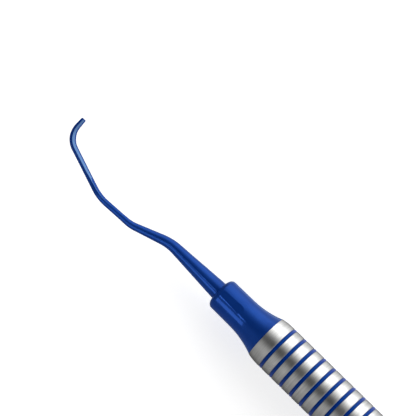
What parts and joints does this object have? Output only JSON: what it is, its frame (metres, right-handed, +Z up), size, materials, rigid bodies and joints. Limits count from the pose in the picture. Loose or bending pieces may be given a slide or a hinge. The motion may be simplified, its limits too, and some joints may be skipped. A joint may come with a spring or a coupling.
{
  "type": "hand scaler",
  "caption": "Double-ended dental hand scaler: ringed round metal handle with a blue-coated, screw-in bent shank and curved blade at each end.",
  "frame": {"origin": "on the handle's axis, midway along the handle", "axes": "+X along the handle from end A to end B, +Y the way that end A's blade points, +Z up from the table that the scaler lies on"},
  "size_m": [0.1788, 0.01, 0.009],
  "materials": {
    "handle_steel": "fine circumferential brushing, satin",
    "socket_steel": "turned, bare",
    "blue_coating": "polished steel with a hard blue coating, glossy",
    "ring_silicone": "smooth blue silicone",
    "seal_rubber": "black O-ring rubber"
  },
  "bodies": {
    "handle": {"handle_tube": "handle_steel", "socket_a": "socket_steel", "socket_b": "socket_steel", "ring_a01": "ring_silicone", "ring_a02": "ring_silicone", "ring_a03": "ring_silicone", "ring_a04": "ring_silicone", "ring_a05": "ring_silicone", "ring_a06": "ring_silicone", "ring_a07": "ring_silicone", "ring_a08": "ring_silicone", "ring_a09": "ring_silicone", "ring_a10": "ring_silicone", "ring_a11": "ring_silicone", "ring_a12": "ring_silicone", "ring_b01": "ring_silicone", "ring_b02": "ring_silicone", "ring_b03": "ring_silicone", "ring_b04": "ring_silicone", "ring_b05": "ring_silicone", "ring_b06": "ring_silicone", "ring_b07": "ring_silicone", "ring_b08": "ring_silicone", "ring_b09": "ring_silicone", "ring_b10": "ring_silicone", "ring_b11": "ring_silicone", "ring_b12": "ring_silicone"},
    "seal_a": {"seal_a": "seal_rubber"},
    "tip_a": {"collar_a": "blue_coating", "shank_a": "blue_coating"},
    "seal_b": {"seal_b": "seal_rubber"},
    "tip_b": {"collar_b": "blue_coating", "shank_b": "blue_coating"}
  },
  "joints": [
    {"name": "tip_a_travel", "type": "slide", "parent": "handle", "child": "seal_a", "axis": [-1, 0, 0], "range_m": [0, 0.0063]},
    {"name": "tip_a_turn", "type": "hinge", "parent": "seal_a", "child": "tip_a", "pos_m": [-0.039, 0, 0], "axis": [-1, 0, 0], "range_deg": [0, 3240.5]},
    {"name": "tip_b_travel", "type": "slide", "parent": "handle", "child": "seal_b", "axis": [1, 0, 0], "range_m": [0, 0.0063]},
    {"name": "tip_b_turn", "type": "hinge", "parent": "seal_b", "child": "tip_b", "pos_m": [0.039, 0, 0], "axis": [1, 0, 0], "range_deg": [0, 3240.5]}
  ],
  "couplings": [
    {"joint": "tip_a_turn", "follows": "tip_a_travel", "rad_per_m": 8976},
    {"joint": "tip_b_turn", "follows": "tip_b_travel", "rad_per_m": 8976}
  ]
}
